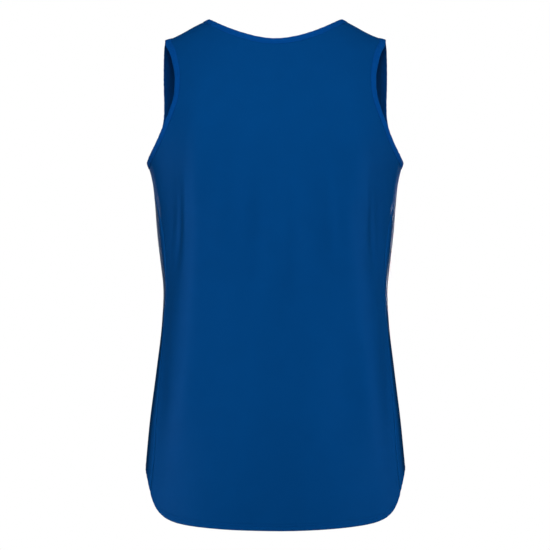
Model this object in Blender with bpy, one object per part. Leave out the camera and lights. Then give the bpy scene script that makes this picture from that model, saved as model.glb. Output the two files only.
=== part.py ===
"""Running singlet: a sleeveless knit vest, filled out as it is worn, with nobody in it.

Metres, +Z up, +X to the wearer's right, +Y out of the wearer's front. The origin is midway between
the two straps, at the height where the wearer's shoulders carry them.

The cloth's outer face is a smooth body surface, which each panel is cut from. A place on it has two
coordinates. "down" is 0 on the line of the shoulders and 1 at the underarm, and goes on to the hem.
"angle" is 0 at the middle of the back or front, and grows to the wearer's right. A "level" is a
height below the origin. Above the underarm the surface rolls over the shoulders as a quarter of an
ellipse, and below it every level is a flat section.
"""

import math
from collections import namedtuple

import bmesh
import bpy
import numpy as np

# Cloth and making up
CLOTH = 0.0010          # wall of the knit
SEAM_GAP = 0.0003       # between two pieces that are sewn together
BINDING_WIDTH = 0.0088  # finished width of the strip that is folded over the neck and armhole edges
BINDING_WALL = 0.0010
BINDING_ROUND = 0.0008  # rounding of the two corners of its fold
HEM_DEPTH = 0.0100      # turned up inside
HEM_WALL = 0.0022       # the two layers there together
HEM_STEP = 0.0004       # height over which the inner face steps out onto the turned-up layer

# Sizes of the garment
UNDERARM = 0.1724           # level of the armholes' lowest point
NECK_POINT_X = 0.0880       # half the width of the neck at the shoulder seams
SHOULDER_POINT_X = 0.1473   # half the width across the shoulder points
NECK_BACK_Z = -0.0147       # the neckline at the middle of the back
NECK_BACK_POWER = 1.80      # 2 is a parabola, more is a rounder bottom and straighter sides
NECK_FRONT_Z = -0.0820
NECK_FRONT_POWER = 2.5
SEAM_FOOT = 0.6098          # level where the side seams meet the hem
HEM_BACK = 0.6530           # level of the hem at the middle of the back
HEM_FRONT = 0.5680
HEM_CORNER = 0.79           # share of the hem's curve that lies in its rounded corners
HEM_CORNER_POWER = 11

# The line of the shoulders, from side to side over the neck.
SHOULDERS = (
    ("x", "z"),
    (0.0000, 0.0465),
    (0.0450, 0.0385),
    (0.0880, 0.0176),
    (0.1050, 0.0090),
    (0.1210, 0.0006),
    (0.1350, -0.0056),
    (0.1490, -0.0102),
    (0.1850, -0.0145),
)

# Sections round the body. The side seam is where the two panels meet, wrap is how far round each of
# them reaches, in degrees. The sides of the sections above the underarm are cut away by the armholes.
SECTIONS = (
    ("level", "seam_x", "seam_y", "back_y", "back_wrap", "front_y", "front_wrap"),
    (0.0000, 0.1780, 0.000, -0.110, 84.0, 0.110, 84.0),
    (0.0900, 0.1792, 0.000, -0.111, 83.0, 0.112, 85.0),
    (0.1400, 0.1768, -0.001, -0.113, 82.0, 0.114, 86.0),
    (0.1724, 0.1705, -0.002, -0.113, 82.0, 0.116, 87.0),
    (0.1910, 0.1654, -0.003, -0.113, 81.0, 0.117, 91.0),
    (0.2240, 0.1586, -0.008, -0.112, 77.0, 0.117, 100.5),
    (0.2480, 0.1528, -0.013, -0.111, 72.0, 0.116, 106.7),
    (0.2720, 0.1480, -0.017, -0.109, 68.0, 0.115, 109.9),
    (0.3040, 0.1455, -0.018, -0.106, 66.0, 0.112, 108.2),
    (0.3430, 0.1449, -0.015, -0.102, 67.0, 0.108, 102.8),
    (0.3840, 0.1478, -0.012, -0.099, 68.0, 0.105, 101.0),
    (0.4480, 0.1527, -0.016, -0.098, 60.0, 0.104, 105.5),
    (0.5120, 0.1577, -0.022, -0.099, 51.0, 0.105, 109.5),
    (0.5700, 0.1612, -0.026, -0.099, 46.0, 0.106, 111.3),
    (0.6100, 0.1656, -0.027, -0.099, 45.0, 0.106, 110.0),
    (0.6600, 0.1690, -0.028, -0.099, 45.0, 0.106, 109.0),
)

# Finished armhole edges, seen square on from the back or front. They start at the shoulder point.
ARMHOLES = {
    "back": (
        ("x", "z"),
        (0.1457, -0.0178),
        (0.1397, -0.0298),
        (0.1356, -0.0430),
        (0.1322, -0.0580),
        (0.1312, -0.0740),
        (0.1325, -0.0900),
        (0.1372, -0.1055),
        (0.1461, -0.1264),
        (0.1568, -0.1492),
        (0.1655, -0.1641),
        (0.1705, -0.1724),
    ),
    "front": (
        ("x", "z"),
        (0.1490, -0.0180),
        (0.1502, -0.0330),
        (0.1508, -0.0520),
        (0.1508, -0.0720),
        (0.1504, -0.0920),
        (0.1512, -0.1120),
        (0.1560, -0.1340),
        (0.1630, -0.1560),
        (0.1705, -0.1724),
    ),
}

# Soft folds along a line on a panel: a trough, or a ridge where the depth is negative.
FOLDS = {
    "back": (
        ("top_x", "top_z", "foot_x", "foot_z", "half_width", "depth"),
        (0.124, -0.200, 0.128, -0.345, 0.013, 0.0026),
        (-0.122, -0.195, -0.130, -0.345, 0.013, 0.0026),
        (0.044, -0.190, 0.048, -0.400, 0.020, 0.0016),
        (-0.040, -0.200, -0.047, -0.390, 0.020, 0.0016),
        (0.116, -0.380, 0.128, -0.560, 0.024, -0.0024),
        (-0.114, -0.380, -0.126, -0.560, 0.024, -0.0024),
    ),
    "front": (
        ("top_x", "top_z", "foot_x", "foot_z", "half_width", "depth"),
        (0.122, -0.205, 0.126, -0.350, 0.014, 0.0024),
        (-0.124, -0.200, -0.128, -0.345, 0.014, 0.0024),
        (0.048, -0.220, 0.056, -0.430, 0.022, 0.0020),
        (-0.052, -0.215, -0.050, -0.420, 0.022, 0.0018),
        (0.112, -0.380, 0.126, -0.520, 0.024, -0.0022),
        (-0.110, -0.385, -0.124, -0.520, 0.024, -0.0022),
    ),
}

# How finely the pieces are divided
NECK_PARTS = {"back": 10, "front": 12}  # from the middle of the neckline to a shoulder seam
STRAP_PARTS = 5
ARMHOLE_PARTS = 19      # from a shoulder point to the underarm
TORSO_PARTS = 15        # from the underarm to the top of the hem
LINE_SAMPLES = 400      # on an edge, before its stations are spaced
TURN_LENGTH = 0.040     # a radian of turning counts as this much length when stations are spaced
SMOOTHING_ROUNDS = 200
CHEST_RADIUS = 0.160    # turns an angle into a rough length while a grid is smoothed
SLOPE_STEP = 0.002      # of down or angle, for slopes

# Colours
PANEL_BLUE = (0.004, 0.042, 0.180)
BINDING_BLUE = (0.004, 0.056, 0.250)
KNIT_ROUGHNESS = 0.62

QUARTER = math.pi / 2
OUTWARD = {"back": -1, "front": 1}  # the way along Y that a panel faces

# The stations of an edge, and how down and angle change for a metre of the way into the panel.
Edge = namedtuple("Edge", "panel down angle down_step angle_step")


def columns(table):
    """A table's columns by the names in its first row."""
    return dict(zip(table[0], np.array(table[1:]).T))


def smooth(knots, values):
    """A smooth curve through the values at the knots, as a function."""
    slopes = np.gradient(values, knots)

    def at(place):
        place = np.clip(place, knots[0], knots[-1])
        i = np.clip(np.searchsorted(knots, place) - 1, 0, len(knots) - 2)
        span = knots[i + 1] - knots[i]
        t = (place - knots[i]) / span
        rest = 1 - t
        from_values = values[i] * (1 + 2 * t) * rest**2 + values[i + 1] * (3 - 2 * t) * t**2
        from_slopes = span * t * rest * (slopes[i] * rest - slopes[i + 1] * t)
        return from_values + from_slopes

    return at


shoulder_z = smooth(columns(SHOULDERS)["x"], columns(SHOULDERS)["z"])
section_at = {name: smooth(columns(SECTIONS)["level"], column)
              for name, column in columns(SECTIONS).items()}


def level_of(down):
    return UNDERARM * np.where(down < 1, 1 - np.cos(down * QUARTER), 1 + (down - 1) * QUARTER)


def down_of(level):
    share = level / UNDERARM
    return np.where(share < 1, np.arccos(1 - np.minimum(share, 1)) / QUARTER, 1 + (share - 1) / QUARTER)


def section(panel, down):
    """The panel's section: its middle, half its width and its depth as an ellipse, and its wrap."""
    level = level_of(down)
    wrap = np.radians(section_at[panel + "_wrap"](level))
    middle = section_at[panel + "_y"](level)
    half_width = section_at["seam_x"](level) / np.sin(wrap)
    depth = (section_at["seam_y"](level) - middle) / (1 - np.cos(wrap))
    return middle, half_width, depth, wrap


def body(panel, down, angle):
    """The body surface without its folds."""
    middle, half_width, depth, _ = section(panel, down)
    x = half_width * np.sin(angle)
    y = middle + depth * (1 - np.cos(angle))
    roll = np.minimum(down, 1) * QUARTER
    rolled_z = (UNDERARM + shoulder_z(np.abs(x))) * np.cos(roll) - UNDERARM
    z = np.where(down < 1, rolled_z, -level_of(down))
    return np.stack((x, y * np.sin(roll), z), axis=-1)


def unit(vectors):
    return vectors / np.linalg.norm(vectors, axis=-1, keepdims=True)


def slopes_of(surface, panel, down, angle):
    along_down = surface(panel, down + SLOPE_STEP, angle) - surface(panel, down - SLOPE_STEP, angle)
    along_angle = surface(panel, down, angle + SLOPE_STEP) - surface(panel, down, angle - SLOPE_STEP)
    return along_down / (2 * SLOPE_STEP), along_angle / (2 * SLOPE_STEP)


def normal_of(surface, panel, down, angle):
    along_down, along_angle = slopes_of(surface, panel, down, angle)
    return OUTWARD[panel] * unit(np.cross(along_angle, along_down))


def fold_depth(panel, x, z):
    """How far the folds press the cloth in."""
    folds = columns(FOLDS[panel])
    t = (z[..., None] - folds["top_z"]) / (folds["foot_z"] - folds["top_z"])
    line_x = folds["top_x"] + (folds["foot_x"] - folds["top_x"]) * t
    across = np.exp(-(((x[..., None] - line_x) / folds["half_width"]) ** 2))
    along = np.sin(math.pi * np.clip(t, 0, 1)) ** 2
    return np.sum(folds["depth"] * across * along, axis=-1)


def cloth(panel, down, angle):
    """The outer face of the cloth, folds included."""
    points = body(panel, down, angle)
    depth = fold_depth(panel, points[..., 0], points[..., 2])
    return points - depth[..., None] * normal_of(body, panel, down, angle)


def located(panel, x, z):
    """The down and angle of a place above the underarm that is seen square on at x, z."""
    down = np.arccos(np.clip((z + UNDERARM) / (shoulder_z(x) + UNDERARM), 0, 1)) / QUARTER
    _, half_width, _, _ = section(panel, down)
    return down, np.arcsin(np.clip(x / half_width, -1, 1))


def spaced(panel, x, z, parts):
    """Stations on an edge, closer together where it bends."""
    down, angle = located(panel, x, z)
    steps = np.diff(body(panel, down, angle), axis=0)
    lengths = np.linalg.norm(steps, axis=1)
    headings = steps / lengths[:, None]
    turns = np.arccos(np.clip(np.sum(headings[1:] * headings[:-1], axis=1), -1, 1))
    progress = np.concatenate(([0], np.cumsum(lengths + TURN_LENGTH * np.append(0, turns))))
    wanted = np.linspace(0, progress[-1], parts + 1)
    return np.interp(wanted, progress, down), np.interp(wanted, progress, angle)


def edge_into(panel, down, angle, first_heading, last_heading, inward):
    """An edge with its way into the panel. inward is 1 or -1, for the side of the heading it is on."""
    headings = np.gradient(body(panel, down, angle), axis=0)
    headings[0] = first_heading
    headings[-1] = last_heading
    way = inward * OUTWARD[panel] * np.cross(normal_of(body, panel, down, angle), unit(headings))
    along_down, along_angle = slopes_of(body, panel, down, angle)
    down_down = np.sum(along_down * along_down, axis=-1)
    down_angle = np.sum(along_down * along_angle, axis=-1)
    angle_angle = np.sum(along_angle * along_angle, axis=-1)
    way_down = np.sum(way * along_down, axis=-1)
    way_angle = np.sum(way * along_angle, axis=-1)
    area = down_down * angle_angle - down_angle**2
    down_step = (way_down * angle_angle - way_angle * down_angle) / area
    angle_step = (way_angle * down_down - way_down * down_angle) / area
    return Edge(panel, down, angle, down_step, angle_step)


def neck_edge(panel, middle_z, power):
    """The finished neckline, from the middle of the panel to the neck point."""
    x = NECK_POINT_X * np.sin(np.linspace(0, QUARTER, LINE_SAMPLES))
    z = middle_z + (shoulder_z(NECK_POINT_X) - middle_z) * (x / NECK_POINT_X) ** power
    down, angle = spaced(panel, x, z, NECK_PARTS[panel])
    over_shoulder = (0, -OUTWARD[panel], 0)
    return edge_into(panel, down, angle, (1, 0, 0), over_shoulder, 1)


def armhole_edge(panel):
    """The finished armhole edge, from the shoulder point to the underarm."""
    outline = columns(ARMHOLES[panel])
    knots_x = np.append(SHOULDER_POINT_X, outline["x"])
    knots_z = np.append(shoulder_z(SHOULDER_POINT_X), outline["z"])
    lengths = np.append(0, np.cumsum(np.hypot(np.diff(knots_x), np.diff(knots_z))))
    places = lengths[-1] * np.linspace(0, 1, LINE_SAMPLES) ** 2
    x = smooth(lengths, knots_x)(places)
    z = smooth(lengths, knots_z)(places)
    down, angle = spaced(panel, x, z, ARMHOLE_PARTS)
    outward = (0, OUTWARD[panel], 0)
    edge = edge_into(panel, down, angle, outward, (0, -OUTWARD[panel], 0), 1)
    # The last station's way lies along the side seam.
    wraps = section(panel, np.array((1, 1 + SLOPE_STEP)))[3]
    edge.angle_step[-1] = edge.down_step[-1] * (wraps[1] - wraps[0]) / SLOPE_STEP
    return edge


def hem_level(panel, share):
    """The hem, by the share of the way from the middle of the panel to its side seam."""
    middle = HEM_BACK if panel == "back" else HEM_FRONT
    curve = (1 - HEM_CORNER) * share**2 + HEM_CORNER * share**HEM_CORNER_POWER
    return middle + (SEAM_FOOT - middle) * curve


def inside(edge, distance):
    """Stations of an edge, moved this far into the panel."""
    return edge.down + distance * edge.down_step, edge.angle + distance * edge.angle_step


def at_seam(panel, down):
    """The angle of the panel's own edge at the side seam, which is half the gap short of it."""
    _, half_width, depth, wrap = section(panel, down)
    reach = np.hypot(half_width * np.cos(wrap), depth * np.sin(wrap))
    return wrap - SEAM_GAP / 2 / reach


def patch(top, side, middle, foot):
    """Fills a four-sided grid from its four edges. The first of top and middle is the same point."""
    u = np.linspace(0, 1, len(top))[None, :]
    v = np.linspace(0, 1, len(side))[:, None]
    between_rows = (1 - v) * top[None, :] + v * foot[None, :]
    between_columns = (1 - u) * middle[:, None] + u * side[:, None]
    corners = ((1 - u) * (1 - v) * top[0] + u * (1 - v) * top[-1]
               + (1 - u) * v * foot[0] + u * v * foot[-1])
    return between_rows + between_columns - corners


def evened(down, angle):
    """Moves the inner points of a grid between its edges until no cell is folded over."""
    grid = np.stack((down * UNDERARM, angle * CHEST_RADIUS))
    for _ in range(SMOOTHING_ROUNDS):
        across = (grid[:, 1:-1, 2:] - grid[:, 1:-1, :-2]) / 2
        along = (grid[:, 2:, 1:-1] - grid[:, :-2, 1:-1]) / 2
        across_across = np.sum(across * across, axis=0)
        along_along = np.sum(along * along, axis=0)
        across_along = np.sum(across * along, axis=0)
        twist = (grid[:, 2:, 2:] - grid[:, 2:, :-2] - grid[:, :-2, 2:] + grid[:, :-2, :-2]) / 4
        beside = grid[:, 1:-1, 2:] + grid[:, 1:-1, :-2]
        above_and_below = grid[:, 2:, 1:-1] + grid[:, :-2, 1:-1]
        pull = along_along * beside + across_across * above_and_below - 2 * across_along * twist
        grid[:, 1:-1, 1:-1] = pull / (2 * (along_along + across_across))
    return grid[0] / UNDERARM, grid[1] / CHEST_RADIUS


def mirrored(half, sign=1):
    """Rows that run from the middle to the wearer's right, with their left halves added."""
    return np.concatenate((sign * half[..., :0:-1], half), axis=-1)


def hem_heading(panel):
    """The way the hem runs where it meets the side seam."""
    share = np.array((1 - SLOPE_STEP, 1))
    down = down_of(hem_level(panel, share))
    points = body(panel, down, share * section(panel, down)[3])
    return unit(points[1] - points[0])


def main_grid(panel, neck, armhole):
    """Down and angle of the points between the bindings, and below them to the hem."""
    band = BINDING_WIDTH + SEAM_GAP
    neck_down, neck_angle = inside(neck, band)
    side_down, side_angle = inside(armhole, band)
    side_angle[-1] = at_seam(panel, side_down[-1])
    strap_angle = np.linspace(neck_angle[-1], side_angle[0], STRAP_PARTS + 1)[1:]
    top_down = np.append(neck_down, np.full(STRAP_PARTS, neck_down[-1]))
    top_angle = np.append(neck_angle, strap_angle)
    share = np.linspace(0, 1, len(top_down))
    underarm = side_down[-1]
    middle_down = np.linspace(top_down[0], underarm, len(side_down))
    foot_down = np.full_like(share, underarm)
    upper_down = patch(top_down, side_down, middle_down, foot_down)
    upper_angle = patch(top_angle, side_angle, 0 * side_angle, share * side_angle[-1])
    upper_down, upper_angle = evened(upper_down, upper_angle)

    hem_down = down_of(hem_level(panel, share))
    hem_angle = share * at_seam(panel, hem_down)
    hem = edge_into(panel, hem_down, hem_angle, (1, 0, 0), hem_heading(panel), -1)
    hem_rows = [inside(hem, depth)[0] for depth in (HEM_DEPTH + HEM_STEP, HEM_DEPTH, 0)]
    t = np.linspace(0, 1, TORSO_PARTS + 1)[1:, None]
    lower_down = np.vstack((underarm + (hem_rows[0] - underarm) * t, hem_rows[1:]))
    lower_angle = share * at_seam(panel, lower_down[:, -1:])
    down = np.maximum(np.vstack((upper_down, lower_down)), shoulder_gap(panel))
    return mirrored(down), mirrored(np.vstack((upper_angle, lower_angle)), -1)


def shoulder_gap(panel):
    """Down of the panel's own edge at the shoulder seam, which is half the gap short of it."""
    return SEAM_GAP / 2 / (QUARTER * abs(float(section_at[panel + "_y"](0))))


def seam_normal(down):
    """The way out at the right side seam, between the ways out of the two panels."""
    panels = tuple(OUTWARD)
    ways = [normal_of(cloth, panel, down, section(panel, down)[3]) for panel in panels]
    return unit(ways[0] + ways[1])


def quads(grid):
    """Four-sided faces between the points whose numbers are in a grid."""
    corners = (grid[:-1, :-1], grid[1:, :-1], grid[1:, 1:], grid[:-1, 1:])
    return np.stack([corner.ravel() for corner in corners], axis=-1).tolist()


def panel_mesh(panel, neck, armhole):
    """The panel's wall: its main grid, and a band under each binding."""
    inset = BINDING_WALL + SEAM_GAP
    main_down, main_angle = main_grid(panel, neck, armhole)
    neck_down, neck_angle = inside(neck, inset)
    side_down, side_angle = inside(armhole, inset)
    side_angle[-1] = at_seam(panel, side_down[-1])
    parts = (
        (main_down.ravel(), main_angle.ravel()),
        (mirrored(neck_down), mirrored(neck_angle, -1)),
        (side_down, side_angle),
        (side_down, -side_angle),
    )
    down = np.maximum(np.concatenate([part[0] for part in parts]), shoulder_gap(panel))
    angle = np.concatenate([part[1] for part in parts])
    numbers = np.split(np.arange(len(down)), np.cumsum([len(part[0]) for part in parts])[:-1])
    grid = numbers[0].reshape(main_down.shape)
    middle = grid.shape[1] // 2
    under_neck = grid[0, middle - NECK_PARTS[panel]:middle + NECK_PARTS[panel] + 1]
    by_armhole = slice(0, ARMHOLE_PARTS + 1)
    faces = quads(grid)
    faces += quads(np.stack((numbers[1], under_neck)))
    faces += quads(np.stack((grid[by_armhole, -1], numbers[2]), axis=1))
    faces += quads(np.stack((numbers[3], grid[by_armhole, 0]), axis=1))

    outer = cloth(panel, down, angle)
    normal = normal_of(cloth, panel, down, angle)
    for column, line, side in ((-1, numbers[2], 1), (0, numbers[3], -1)):
        seam = np.append(line[-1], grid[ARMHOLE_PARTS:, column])
        out = seam_normal(down[seam]) * (side, 1, 1)
        normal[seam] = out / np.sum(out * normal[seam], axis=-1, keepdims=True)
    wall = np.full(len(down), CLOTH)
    wall[grid[-2:]] = HEM_WALL
    return closed_wall(outer, outer - wall[:, None] * normal, faces)


def closed_wall(outer, inner, faces):
    """Joins an outer and an inner skin, which have the same faces, round their open edges."""
    count = len(outer)
    edges = {(face[k - 1], face[k]) for face in faces for k in range(len(face))}
    rim = [(end, start) for start, end in edges if (end, start) not in edges]
    inner_faces = [[number + count for number in reversed(face)] for face in faces]
    rim_faces = [(start, end, end + count, start + count) for start, end in sorted(rim)]
    return np.concatenate((outer, inner)), faces + inner_faces + rim_faces


def binding_profile():
    """The folded strip's section: distance into the panel, and height over the panel's outer face."""
    slot_top = SEAM_GAP
    slot_foot = -CLOTH - SEAM_GAP
    top = slot_top + BINDING_WALL
    foot = slot_foot - BINDING_WALL
    half = BINDING_WIDTH / 2
    return (
        (BINDING_WIDTH, top),
        (half, top),
        (BINDING_ROUND, top),
        (0, top - BINDING_ROUND),
        (0, foot + BINDING_ROUND),
        (BINDING_ROUND, foot),
        (half, foot),
        (BINDING_WIDTH, foot),
        (BINDING_WIDTH, slot_foot),
        (half, slot_foot),
        (BINDING_WALL, slot_foot),
        (BINDING_WALL, slot_top),
        (half, slot_top),
        (BINDING_WIDTH, slot_top),
    )


def binding_strip(edge, side):
    """The binding's section at each station of an edge. side is 1 on the wearer's right, else -1."""
    strip = []
    for distance, height in binding_profile():
        down, angle = inside(edge, distance)
        place = (edge.panel, down, side * angle)
        strip.append(cloth(*place) + height * normal_of(cloth, *place))
    return np.stack(strip, axis=1)


def joined(first, second):
    """Two strips end to end. The section that they share is the mean of its two."""
    meeting = (first[-1:] + second[:1]) / 2
    return np.concatenate((first[:-1], meeting, second[1:]))


def closed(strip):
    """A strip whose first and last sections are the same one, as sections of a ring."""
    ring = strip[:-1].copy()
    ring[0] = (strip[0] + strip[-1]) / 2
    return ring


def ring_mesh(sections):
    count, points = sections.shape[:2]
    faces = []
    for j in range(count):
        for i in range(points):
            across = (i + 1) % points
            onward = (j + 1) % count
            faces.append((j * points + i, j * points + across, onward * points + across,
                          onward * points + i))
    return sections.reshape(-1, 3), faces


def over_shoulder(edges, side):
    """The binding's sections along the back edge and then along the front one to its start."""
    return joined(binding_strip(edges["back"], side), binding_strip(edges["front"], side)[::-1])


def neck_binding(neck):
    return ring_mesh(closed(joined(over_shoulder(neck, 1), over_shoulder(neck, -1)[::-1])))


def armhole_binding(armhole, side):
    return ring_mesh(closed(over_shoulder(armhole, side)))


def material(name, colour):
    made = bpy.data.materials.new(name)
    made.use_nodes = True
    made.diffuse_color = (*colour, 1)
    shader = made.node_tree.nodes["Principled BSDF"]
    shader.inputs["Base Color"].default_value = (*colour, 1)
    shader.inputs["Roughness"].default_value = KNIT_ROUGHNESS
    shader.inputs["Metallic"].default_value = 0
    return made


def piece(name, points_and_faces, colour):
    points, faces = points_and_faces
    mesh = bpy.data.meshes.new(name)
    mesh.from_pydata(points.tolist(), [], [tuple(int(i) for i in face) for face in faces])
    solid = bmesh.new()
    solid.from_mesh(mesh)
    bmesh.ops.recalc_face_normals(solid, faces=solid.faces)
    solid.to_mesh(mesh)
    solid.free()
    mesh.shade_smooth()
    mesh.set_sharp_from_angle(angle=math.radians(50))
    made = bpy.data.objects.new(name, mesh)
    made.data.materials.append(material(name, colour))
    bpy.context.scene.collection.objects.link(made)
    return made


def clear_scene():
    for old in list(bpy.data.objects):
        bpy.data.objects.remove(old, do_unlink=True)


def make_singlet():
    neck = {
        "back": neck_edge("back", NECK_BACK_Z, NECK_BACK_POWER),
        "front": neck_edge("front", NECK_FRONT_Z, NECK_FRONT_POWER),
    }
    armhole = {panel: armhole_edge(panel) for panel in OUTWARD}
    for panel in OUTWARD:
        piece(panel + "_panel", panel_mesh(panel, neck[panel], armhole[panel]), PANEL_BLUE)
    piece("neck_binding", neck_binding(neck), BINDING_BLUE)
    piece("armhole_binding_right", armhole_binding(armhole, 1), BINDING_BLUE)
    piece("armhole_binding_left", armhole_binding(armhole, -1), BINDING_BLUE)


clear_scene()
make_singlet()
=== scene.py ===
import math
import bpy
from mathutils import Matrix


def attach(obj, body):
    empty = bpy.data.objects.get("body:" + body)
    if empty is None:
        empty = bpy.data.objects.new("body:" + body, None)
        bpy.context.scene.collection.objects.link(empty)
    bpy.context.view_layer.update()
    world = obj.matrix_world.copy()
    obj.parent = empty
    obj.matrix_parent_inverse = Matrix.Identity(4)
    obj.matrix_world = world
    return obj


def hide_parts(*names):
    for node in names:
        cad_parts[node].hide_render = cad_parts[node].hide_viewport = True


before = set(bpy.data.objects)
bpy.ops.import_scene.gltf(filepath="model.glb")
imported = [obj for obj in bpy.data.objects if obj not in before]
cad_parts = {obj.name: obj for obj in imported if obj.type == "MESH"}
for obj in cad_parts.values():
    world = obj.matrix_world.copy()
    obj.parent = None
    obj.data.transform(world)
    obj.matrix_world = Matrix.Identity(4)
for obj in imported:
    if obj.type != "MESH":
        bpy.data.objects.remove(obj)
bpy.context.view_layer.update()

from types import SimpleNamespace

import bpy
import numpy as np
from mathutils import Vector
from mathutils.kdtree import KDTree

print("frame loaded:", ", ".join(sorted(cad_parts)))

quarter = math.pi / 2
outward = {"back": -1, "front": 1}  # the way along Y that a panel faces
sides = {1: "Right", -1: "Left"}  # the way along X of each half

# the worn form
figure = {
    "underarm": 0.1724,  # level of the lowest point of the armholes
    "neckPoint": 0.0880,  # half the neck's width at the shoulder seams
    "shoulderPoint": 0.1473,
    "neckZ": {"back": -0.0147, "front": -0.0820},
    "neckPower": {"back": 1.80, "front": 2.5},
    "seamFoot": 0.6098,  # level where the side seams meet the hem
    "hemLevel": {"back": 0.6530, "front": 0.5680},
    "hemCorner": 0.79,  # share of the hem's curve that is in its rounded corners
    "hemCornerPower": 10,
    "seamGap": 0.00005,  # between the panels
    "shoulderDepth": 0.110,  # half the body's depth at the shoulders
    "shoulders": (  # x, z from the middle of the neck outwards
        (0.0000, 0.0465), (0.0450, 0.0385), (0.0880, 0.0176), (0.1050, 0.0090),
        (0.1210, 0.0006), (0.1350, -0.0056), (0.1490, -0.0102), (0.1850, -0.0145),
    ),
    "sections": (  # level, seamX, seamY, backY, backWrap, frontY, frontWrap
        (0.0000, 0.1780, 0.000, -0.110, 84.0, 0.110, 84.0),
        (0.0900, 0.1792, 0.000, -0.111, 83.0, 0.112, 85.0),
        (0.1400, 0.1768, -0.001, -0.113, 82.0, 0.114, 86.0),
        (0.1724, 0.1705, -0.002, -0.113, 82.0, 0.116, 87.0),
        (0.1910, 0.1654, -0.003, -0.113, 81.0, 0.117, 91.0),
        (0.2240, 0.1586, -0.008, -0.112, 77.0, 0.117, 100.5),
        (0.2480, 0.1528, -0.013, -0.111, 72.0, 0.116, 106.7),
        (0.2720, 0.1480, -0.017, -0.109, 68.0, 0.115, 109.9),
        (0.3040, 0.1455, -0.018, -0.106, 66.0, 0.112, 108.2),
        (0.3430, 0.1449, -0.015, -0.102, 67.0, 0.108, 102.8),
        (0.3840, 0.1478, -0.012, -0.099, 68.0, 0.105, 101.0),
        (0.4480, 0.1527, -0.016, -0.098, 60.0, 0.104, 105.5),
        (0.5120, 0.1577, -0.022, -0.099, 51.0, 0.105, 109.5),
        (0.5700, 0.1612, -0.026, -0.099, 46.0, 0.106, 111.3),
        (0.6100, 0.1656, -0.027, -0.099, 45.0, 0.106, 110.0),
        (0.6600, 0.1690, -0.028, -0.099, 45.0, 0.106, 109.0),
    ),
    "armholes": {  # x, z from the shoulder point to the underarm
        "back": (
            (0.1457, -0.0178), (0.1397, -0.0298), (0.1356, -0.0430), (0.1322, -0.0580),
            (0.1312, -0.0740), (0.1325, -0.0900), (0.1372, -0.1055), (0.1461, -0.1264),
            (0.1568, -0.1492), (0.1655, -0.1641), (0.1705, -0.1724),
        ),
        "front": (
            (0.1490, -0.0180), (0.1502, -0.0330), (0.1508, -0.0520), (0.1508, -0.0720),
            (0.1504, -0.0920), (0.1512, -0.1120), (0.1560, -0.1340), (0.1630, -0.1560),
            (0.1705, -0.1724),
        ),
    },
}


def smoothCurve(knots, values):
    slopes = np.gradient(values, knots)

    def at(place):
        place = np.clip(place, knots[0], knots[-1])
        i = np.clip(np.searchsorted(knots, place) - 1, 0, len(knots) - 2)
        span = knots[i + 1] - knots[i]
        t = (place - knots[i]) / span
        rest = 1 - t
        level = values[i] * (1 + 2 * t) * rest**2 + values[i + 1] * (3 - 2 * t) * t**2
        return level + span * t * rest * (slopes[i] * rest - slopes[i + 1] * t)

    return at


shoulderZ = smoothCurve(*np.array(figure["shoulders"]).T)
sectionTable = np.array(figure["sections"]).T
sectionNames = ("level", "seamX", "seamY", "backY", "backWrap", "frontY", "frontWrap")
sectionAt = {name: smoothCurve(sectionTable[0], row) for name, row in zip(sectionNames, sectionTable)}


def unit(vectors):
    return vectors / np.linalg.norm(vectors, axis=-1, keepdims=True)


def dot(first, second):
    return np.sum(first * second, axis=-1)


def runLengths(path):  # distances along a line of points
    return np.append(0, np.cumsum(np.linalg.norm(np.diff(path, axis=0), axis=1)))


def ringLengths(ring):  # the same for a closed line, and its whole length
    steps = np.linalg.norm(np.diff(ring, axis=0, append=ring[:1]), axis=1)
    return np.append(0, np.cumsum(steps)[:-1]), np.sum(steps)


def levelOf(down):  # down is 0 on the shoulder line, 1 at the underarm
    return figure["underarm"] * np.where(down < 1, 1 - np.cos(down * quarter), 1 + (down - 1) * quarter)


def downOf(level):
    share = level / figure["underarm"]
    return np.where(share < 1, np.arccos(1 - np.minimum(share, 1)) / quarter, 1 + (share - 1) / quarter)


def section(panel, down):
    level = levelOf(down)
    wrap = np.radians(sectionAt[panel + "Wrap"](level))
    middle = sectionAt[panel + "Y"](level)
    halfWidth = sectionAt["seamX"](level) / np.sin(wrap)
    depth = (sectionAt["seamY"](level) - middle) / (1 - np.cos(wrap))
    return middle, halfWidth, depth, wrap


def bareBody(panel, down, angle):  # the form without any folds
    middle, halfWidth, depth, _ = section(panel, down)
    x = halfWidth * np.sin(angle)
    y = middle + depth * (1 - np.cos(angle))
    roll = np.minimum(down, 1) * quarter
    rolledZ = (figure["underarm"] + shoulderZ(np.abs(x))) * np.cos(roll) - figure["underarm"]
    z = np.where(down < 1, rolledZ, -levelOf(down))
    return np.stack((x, y * np.sin(roll), z), axis=-1)


def slopesOf(panel, down, angle, step=0.002):
    alongDown = bareBody(panel, down + step, angle) - bareBody(panel, down - step, angle)
    alongAngle = bareBody(panel, down, angle + step) - bareBody(panel, down, angle - step)
    return alongDown / (2 * step), alongAngle / (2 * step)


def normalOf(panel, down, angle):
    alongDown, alongAngle = slopesOf(panel, down, angle)
    return outward[panel] * unit(np.cross(alongAngle, alongDown))


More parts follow.
